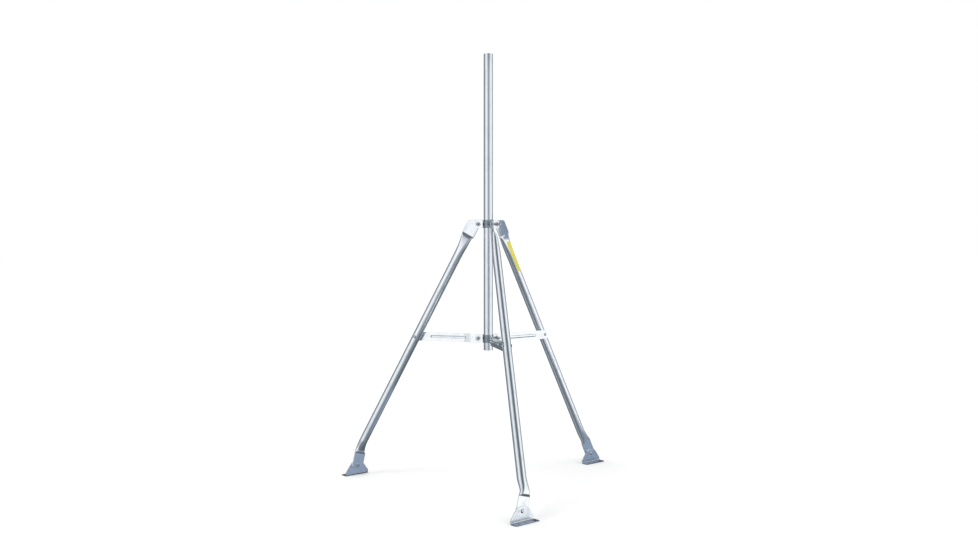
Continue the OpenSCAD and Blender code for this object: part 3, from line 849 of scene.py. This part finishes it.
def zinc(name, matrix, base, tint, rough, grain=1.0, spangle=0.5, marks=0.5, edge=0.25, dull=0.0, painted_band_shade=None, painted_sole_shade=None):
    """Zinc on steel. Grain runs along the frame's Z axis; spangle is the crystal pattern; marks are rub marks and stains."""
    mat, nt = new_material(name)
    p = local_coords(nt, matrix)
    fine = noise(nt, scaled(nt, p, (1100.0, 1100.0, 7.0)), 1.0, 3.0, 0.6)
    broad = noise(nt, scaled(nt, p, (190.0, 190.0, 2.2)), 1.0, 2.0, 0.5)
    cloud = noise(nt, scaled(nt, p, (34.0, 34.0, 20.0)), 1.0, 4.0, 0.6, 0.6)
    rubs = noise(nt, scaled(nt, p, (520.0, 520.0, 160.0)), 1.0, 5.0, 0.7)
    cross = noise(nt, scaled(nt, p, (60.0, 60.0, 2600.0)), 1.0, 1.0, 0.5)
    cells = node(nt, "ShaderNodeTexVoronoi", {"Vector": p, "Scale": 130.0, "Randomness": 1.0}, feature="F1")
    cell = node(nt, "ShaderNodeSeparateColor", {0: cells.outputs["Color"]}).outputs[0]
    # value and tint
    streak = math_node(nt, "ADD", math_node(nt, "MULTIPLY", fine, 0.5), math_node(nt, "MULTIPLY", broad, 0.5))
    value = math_node(nt, "MULTIPLY_ADD", math_node(nt, "SUBTRACT", streak, 0.5), 0.22 * grain, 1.0)
    value = math_node(nt, "ADD", value, math_node(nt, "MULTIPLY", math_node(nt, "SUBTRACT", cell, 0.5), 0.07 * spangle))
    stain = node(nt, "ShaderNodeMapRange", {"Value": cloud, "From Min": 0.46, "From Max": 0.74, "To Min": 0.0, "To Max": 1.0}, interpolation_type="SMOOTHSTEP").outputs[0]
    value = math_node(nt, "SUBTRACT", value, math_node(nt, "MULTIPLY", stain, 0.09 * marks))
    color = mix_color(nt, math_node(nt, "MULTIPLY", stain, 0.6), base, tint)
    color = mix_color(nt, 1.0, color, node(nt, "ShaderNodeCombineColor", {0: value, 1: value, 2: value}).outputs[0], "MULTIPLY")
    # brighter where edges are rubbed
    geo = node(nt, "ShaderNodeNewGeometry")
    worn = node(nt, "ShaderNodeMapRange", {"Value": geo.outputs["Pointiness"], "From Min": 0.53, "From Max": 0.62, "To Min": 0.0, "To Max": 1.0}, interpolation_type="SMOOTHSTEP").outputs[0]
    worn = math_node(nt, "MULTIPLY", worn, math_node(nt, "MULTIPLY", rubs, 1.5 * edge))
    color = mix_color(nt, worn, color, (0.93, 0.94, 0.95))
    if painted_band_shade:
        # painted shade: the bent band's colour is darkened to stand in for the dark reflections it shows, while the
        # ears keep the plain zinc
        q = node(nt, "ShaderNodeSeparateXYZ", {0: node(nt, "ShaderNodeTexCoord").outputs["Object"]})
        radius = math_node(nt, "SQRT", math_node(nt, "ADD", math_node(nt, "MULTIPLY", q.outputs[0], q.outputs[0]), math_node(nt, "MULTIPLY", q.outputs[1], q.outputs[1])))
        band_shade_mask = node(nt, "ShaderNodeMapRange", {"Value": radius, "From Min": 0.0238, "From Max": 0.0224, "To Min": 0.0, "To Max": 1.0}, interpolation_type="SMOOTHSTEP").outputs[0]
        color = mix_color(nt, math_node(nt, "MULTIPLY", band_shade_mask, math_node(nt, "MULTIPLY_ADD", rubs, 0.5, 0.7)), color, painted_band_shade)
    if painted_sole_shade:
        # the sole is dirtier than the upright plate
        # painted shade: the sole's colour is darkened below the upright plate, standing in for the shade and dark
        # reflections it shows
        q = node(nt, "ShaderNodeSeparateXYZ", {0: node(nt, "ShaderNodeTexCoord").outputs["Object"]})
        low = node(nt, "ShaderNodeMapRange", {"Value": q.outputs[2], "From Min": 0.0050, "From Max": 0.0031, "To Min": 0.0, "To Max": 1.0}, interpolation_type="SMOOTHSTEP").outputs[0]
        color = mix_color(nt, math_node(nt, "MULTIPLY", low, math_node(nt, "MULTIPLY_ADD", rubs, -0.7, 1.25)), color, painted_sole_shade)
    # roughness
    r = math_node(nt, "MULTIPLY_ADD", math_node(nt, "SUBTRACT", fine, 0.5), 0.16 * grain, rough)
    r = math_node(nt, "ADD", r, math_node(nt, "MULTIPLY", stain, 0.10 * marks))
    r = math_node(nt, "ADD", r, math_node(nt, "MULTIPLY", math_node(nt, "SUBTRACT", cell, 0.5), 0.09 * spangle))
    scratch = node(nt, "ShaderNodeMapRange", {"Value": cross, "From Min": 0.66, "From Max": 0.72, "To Min": 0.0, "To Max": 1.0}).outputs[0]
    r = math_node(nt, "ADD", r, math_node(nt, "MULTIPLY", scratch, 0.07 * marks))
    # surface height: drawing lines, crystal edges, rub marks
    h = math_node(nt, "ADD", math_node(nt, "MULTIPLY", fine, 0.5 * grain), math_node(nt, "MULTIPLY", broad, 0.9 * grain))
    h = math_node(nt, "ADD", h, math_node(nt, "MULTIPLY", rubs, 0.35 * marks))
    h = math_node(nt, "ADD", h, math_node(nt, "MULTIPLY", cell, 0.10 * spangle))
    bump = node(nt, "ShaderNodeBump", {"Strength": 0.22, "Distance": 0.00012, "Height": h})
    bsdf = node(nt, "ShaderNodeBsdfPrincipled", {"Base Color": color, "Metallic": 1.0 - dull, "Roughness": r, "Normal": bump.outputs[0]})
    out = node(nt, "ShaderNodeOutputMaterial", {"Surface": bsdf.outputs[0]})
    return mat


def film(name, matrix):
    """Yellow vinyl film: faint mottling, dust and a soft gloss."""
    mat, nt = new_material(name)
    p = local_coords(nt, matrix)
    a = noise(nt, scaled(nt, p, (60.0, 60.0, 30.0)), 1.0, 4.0, 0.6)
    b = noise(nt, scaled(nt, p, (900.0, 900.0, 900.0)), 1.0, 2.0, 0.5)
    color = mix_color(nt, a, (0.79, 0.70, 0.045), (0.71, 0.62, 0.034))
    dust = node(nt, "ShaderNodeMapRange", {"Value": b, "From Min": 0.62, "From Max": 0.75, "To Min": 0.0, "To Max": 0.25}).outputs[0]
    color = mix_color(nt, dust, color, (0.80, 0.76, 0.45))
    r = math_node(nt, "MULTIPLY_ADD", a, 0.2, 0.28)
    bump = node(nt, "ShaderNodeBump", {"Strength": 0.15, "Distance": 0.0002, "Height": a})
    bsdf = node(nt, "ShaderNodeBsdfPrincipled", {"Base Color": color, "Roughness": r, "Normal": bump.outputs[0], "Coat Weight": 0.3, "Coat Roughness": 0.15})
    node(nt, "ShaderNodeOutputMaterial", {"Surface": bsdf.outputs[0]})
    return mat


def along_arm(i):
    """The grain's frame of an arm: Z along the bar."""
    return at_leg(i) @ Matrix.Translation((PIVOT_R, 0, LOW_Z)) @ rot("Y", 90)


mast_mat = zinc("mast_steel", Matrix.Translation((0, 0, MAST_LOW)), (0.745, 0.78, 0.82), (0.66, 0.71, 0.775), 0.17, grain=1.0, spangle=0.3, marks=0.5)
leg_mats = [zinc("leg_steel_" + NAMES[i], leg_frame(i), (0.80, 0.835, 0.87), (0.66, 0.725, 0.80), 0.16, grain=1.0, spangle=0.35, marks=0.8) for i in range(3)]
arm_mats = [zinc("sheet_steel_arm_" + NAMES[i], along_arm(i), (0.86, 0.885, 0.91), (0.78, 0.82, 0.86), 0.17, grain=0.6, spangle=0.5, marks=0.5, edge=0.6) for i in range(3)]
# painted shade: the dark colour given for the clamp bands stands in for their dark reflections
clamp_mat = zinc("sheet_steel_clamp", Matrix.Translation((0, 0, LOW_Z)), (0.84, 0.865, 0.885), (0.68, 0.735, 0.80), 0.18, grain=0.5, spangle=0.6, marks=0.7, edge=0.6, painted_band_shade=(0.20, 0.235, 0.275))
# painted shade: the dark colour given for the soles stands in for their shade and dark reflections
foot_mat = zinc("foot_steel", rot("Y", 90), (0.74, 0.785, 0.84), (0.58, 0.64, 0.74), 0.28, grain=0.6, spangle=0.9, marks=0.9, edge=0.6, painted_sole_shade=(0.17, 0.215, 0.28))
bolt_mat = zinc("fastener", rot("Z", 0), (0.60, 0.63, 0.665), (0.42, 0.46, 0.51), 0.14, grain=0.2, spangle=0.1, marks=0.7, edge=0.5)
label_mat = film("label_yellow", leg_frame(0))

# ------------------------------------------------------------------ the pieces
made = []


def place(obj, body, material, slot, *replaced):
    obj.data.materials.clear()
    obj.data.materials.append(material)
    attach(obj, body)
    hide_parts(*replaced)
    made.append(obj)
    return obj


place(make_mast(), "mast", mast_mat, "mast_steel", "mast_tube")
for i, k in enumerate(NAMES):
    pair = ("ab", "bc", "ca")
    place(leg_mesh(i), "leg_" + k, leg_mats[i], "leg_steel", "leg_" + k)
    place(arm_mesh(i), "arm_" + k, arm_mats[i], "sheet_steel", "arm_" + k)
    place(foot_mesh(i), "foot_" + k, foot_mat, "foot_steel", "foot_" + k)
    place(clamp_bolt_mesh("collar_bolt_top_" + k, TOP_Z, TOP_GAP, i), "hub", bolt_mat, "fastener", "top_bolt_" + k)
    place(clamp_nut_mesh("collar_nut_top_" + k, TOP_Z, TOP_GAP, i), "hub", bolt_mat, "fastener", "top_nut_" + k)
    place(clamp_bolt_mesh("collar_bolt_low_" + k, LOW_Z, LOW_GAP, i), "lower_collar", bolt_mat, "fastener", "low_bolt_" + k)
    place(clamp_nut_mesh("collar_nut_low_" + k, LOW_Z, LOW_GAP, i), "lower_collar", bolt_mat, "fastener", "low_nut_" + k)
    place(arm_pin_mesh(i), "leg_" + k, bolt_mat, "fastener", "arm_pin_" + k)
    place(arm_pin_head_mesh(i), "arm_" + k, bolt_mat, "fastener", "arm_pin_head_" + k)
    place(foot_bolt_mesh(i), "leg_" + k, bolt_mat, "fastener", "foot_bolt_" + k)
    place(foot_nut_mesh(i), "leg_" + k, bolt_mat, "fastener", "foot_nut_" + k)
# each clamp segment runs from its first leg round to the next, a third of a turn on
for tag, i in (("ab", 1), ("bc", 2), ("ca", 0)):
    place(clamp_mesh("collar_top_" + tag, TOP_Z, TOP_GAP, i), "hub", clamp_mat, "sheet_steel", "top_clamp_" + tag)
    place(clamp_mesh("collar_low_" + tag, LOW_Z, LOW_GAP, i), "lower_collar", clamp_mat, "sheet_steel", "low_clamp_" + tag)
place(clamp_washers_mesh("collar_washers_top", TOP_Z, TOP_GAP), "hub", bolt_mat, "fastener", "top_washers")
place(clamp_washers_mesh("collar_washers_low", LOW_Z, LOW_GAP), "lower_collar", bolt_mat, "fastener", "low_washers")
place(label_mesh(), "leg_a", label_mat, "label_yellow", "label")

# ------------------------------------------------------------------ floor
floor_mesh = bpy.data.meshes.new("floor")
S = 60.0
floor_mesh.from_pydata([(-S, -S, -0.0004), (S, -S, -0.0004), (S, S, -0.0004), (-S, S, -0.0004)], [], [(0, 1, 2, 3)])
floor = bpy.data.objects.new("floor", floor_mesh)
scene.collection.objects.link(floor)
mat, nt = new_material("studio_floor")
tc = node(nt, "ShaderNodeTexCoord")
n1 = noise(nt, tc.outputs["Object"], 3.0, 4.0, 0.6)
pale = mix_color(nt, n1, (0.885, 0.885, 0.885), (0.90, 0.90, 0.90))
dif = node(nt, "ShaderNodeBsdfDiffuse", {"Color": pale})
node(nt, "ShaderNodeOutputMaterial", {"Surface": dif.outputs[0]})
floor_mesh.materials.append(mat)
floor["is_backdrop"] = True
floor.visible_glossy = False

# ------------------------------------------------------------------ light: a white room, with tall soft boxes that only reflections see
world = bpy.data.worlds.new("studio")
scene.world = world
world.use_nodes = True
nt = world.node_tree
nt.nodes.clear()
world.cycles.sampling_method = "NONE"
tc = node(nt, "ShaderNodeTexCoord")
to_camera = -LOOK
right = Vector((LOOK.y, -LOOK.x, 0.0))
f = node(nt, "ShaderNodeVectorMath", {0: tc.outputs["Generated"], 1: tuple(to_camera)}, operation="DOT_PRODUCT").outputs["Value"]
g = node(nt, "ShaderNodeVectorMath", {0: tc.outputs["Generated"], 1: tuple(right)}, operation="DOT_PRODUCT").outputs["Value"]
azimuth = math_node(nt, "ARCTAN2", g, f)
azimuth = math_node(nt, "MULTIPLY_ADD", azimuth, 1 / (2 * math.pi), 0.5)


def az(deg):
    return deg / 360.0 + 0.5


def lin(v):
    v /= 255.0
    return v / 12.92 if v <= 0.04045 else ((v + 0.055) / 1.055) ** 2.4


def tone_of(level):
    """Studio brightness that a zinc surface shows as this level: darker parts of the room are bluer."""
    l = lin(level) / 0.80
    cool = 0.16 * max(0.0, 1.0 - l)
    return (l * (1 - cool), l, l * (1 + cool * 0.9))


def ring(stops):
    return color_ramp(nt, azimuth, [(az(a), tone_of(v)) for a, v in stops])


# brightness round the room at four heights, in degrees from the way the front of the tripod faces
eye = ring([(-180, 112), (-156, 98), (-128, 112), (-111, 130), (-92, 178), (-75, 222), (-58, 244), (-42, 250), (-28, 236), (-14, 196), (4, 146), (16, 160), (30, 196), (45, 230), (60, 246), (85, 248), (100, 226), (112, 196), (124, 160), (144, 122), (180, 112)])
mid = ring([(-180, 112), (-147, 108), (-120, 112), (-95, 140), (-60, 190), (-35, 216), (-14, 196), (8, 150), (26, 160), (45, 216), (60, 244), (78, 248), (92, 232), (110, 172), (130, 122), (156, 112), (180, 112)])
low_ring = ring([(-180, 100), (-120, 120), (-98, 136), (-72, 166), (-50, 128), (-13, 104), (10, 118), (27, 132), (44, 122), (73, 108), (100, 96), (125, 90), (180, 100)])
high = ring([(-180, 112), (-125, 118), (-92, 206), (-68, 248), (-50, 226), (-36, 196), (-14, 128), (2, 100), (22, 96), (38, 132), (54, 190), (70, 244), (88, 250), (104, 222), (125, 160), (145, 118), (180, 112)])
z = node(nt, "ShaderNodeSeparateXYZ", {0: tc.outputs["Generated"]}).outputs[2]


def between(a, b):
    return node(nt, "ShaderNodeMapRange", {"Value": z, "From Min": a, "From Max": b, "To Min": 0.0, "To Max": 1.0}, interpolation_type="SMOOTHSTEP").outputs[0]


studio = mix_color(nt, between(0.15, 0.62), eye, high)
studio = mix_color(nt, between(0.80, 0.95), studio, tone_of(112))
studio = mix_color(nt, between(-0.04, -0.28), studio, mid)
studio = mix_color(nt, between(-0.36, -0.64), studio, low_ring)
lp = node(nt, "ShaderNodeLightPath")
final = mix_color(nt, lp.outputs["Is Glossy Ray"], (1.0, 1.0, 1.0), studio)
bg = node(nt, "ShaderNodeBackground", {"Color": final, "Strength": 1.0})
node(nt, "ShaderNodeOutputWorld", {"Surface": bg.outputs[0]})

sun_data = bpy.data.lights.new("key", "SUN")
sun_data.energy = 0.75
sun_data.angle = rad(24)
sun = bpy.data.objects.new("key", sun_data)
scene.collection.objects.link(sun)
# from the upper left, behind the camera
sun_from = (-right * 0.75 - LOOK * 0.55 + Vector((0, 0, 1.25))).normalized()
sun.rotation_euler = sun_from.to_track_quat("Z", "Y").to_euler()
sun.visible_glossy = False



def card(name, origin, a, elevation, distance, width, height, strength):
    """A studio card that only reflections see: from origin (mm), a degrees round and elevation degrees up."""
    d = (to_camera * math.cos(rad(a)) + right * math.sin(rad(a))) * math.cos(rad(elevation)) + Vector((0, 0, math.sin(rad(elevation))))
    centre = Vector(origin) * MM + d * distance
    side = Vector((0, 0, 1)).cross(d).normalized()
    up = d.cross(side).normalized()
    mesh = bpy.data.meshes.new(name)
    mesh.from_pydata([tuple(centre + side * x + up * y) for x, y in ((-width, -height), (width, -height), (width, height), (-width, height))], [], [(0, 1, 2, 3)])
    obj = bpy.data.objects.new(name, mesh)
    scene.collection.objects.link(obj)
    mat, nt = new_material(name)
    glow = node(nt, "ShaderNodeEmission", {"Color": (*strength, 1.0), "Strength": 1.0})
    node(nt, "ShaderNodeOutputMaterial", {"Surface": glow.outputs[0]})
    mesh.materials.append(mat)
    obj.visible_camera = False
    obj.visible_diffuse = False
    obj.visible_shadow = False
    obj.visible_transmission = False
    obj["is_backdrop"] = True
    return obj


# dark cards beside the top plate of leg A and the feet of legs A and C, a white one beside the foot of leg B
card("card_top", (93, 0, 1068), 84, 4, 0.09, 0.031, 0.052, (0.27, 0.33, 0.41))
card("card_foot_a", (520, 10, 45), 87, -13, 0.40, 0.20, 0.14, (0.32, 0.395, 0.51))
card("card_foot_c", (-262, 520, 45), 76, -13, 0.40, 0.20, 0.14, (0.31, 0.38, 0.50))
card("card_foot_b", (-262, -500, 45), 85, -14.5, 0.40, 0.20, 0.16, (1.30, 1.29, 1.28))

low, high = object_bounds()
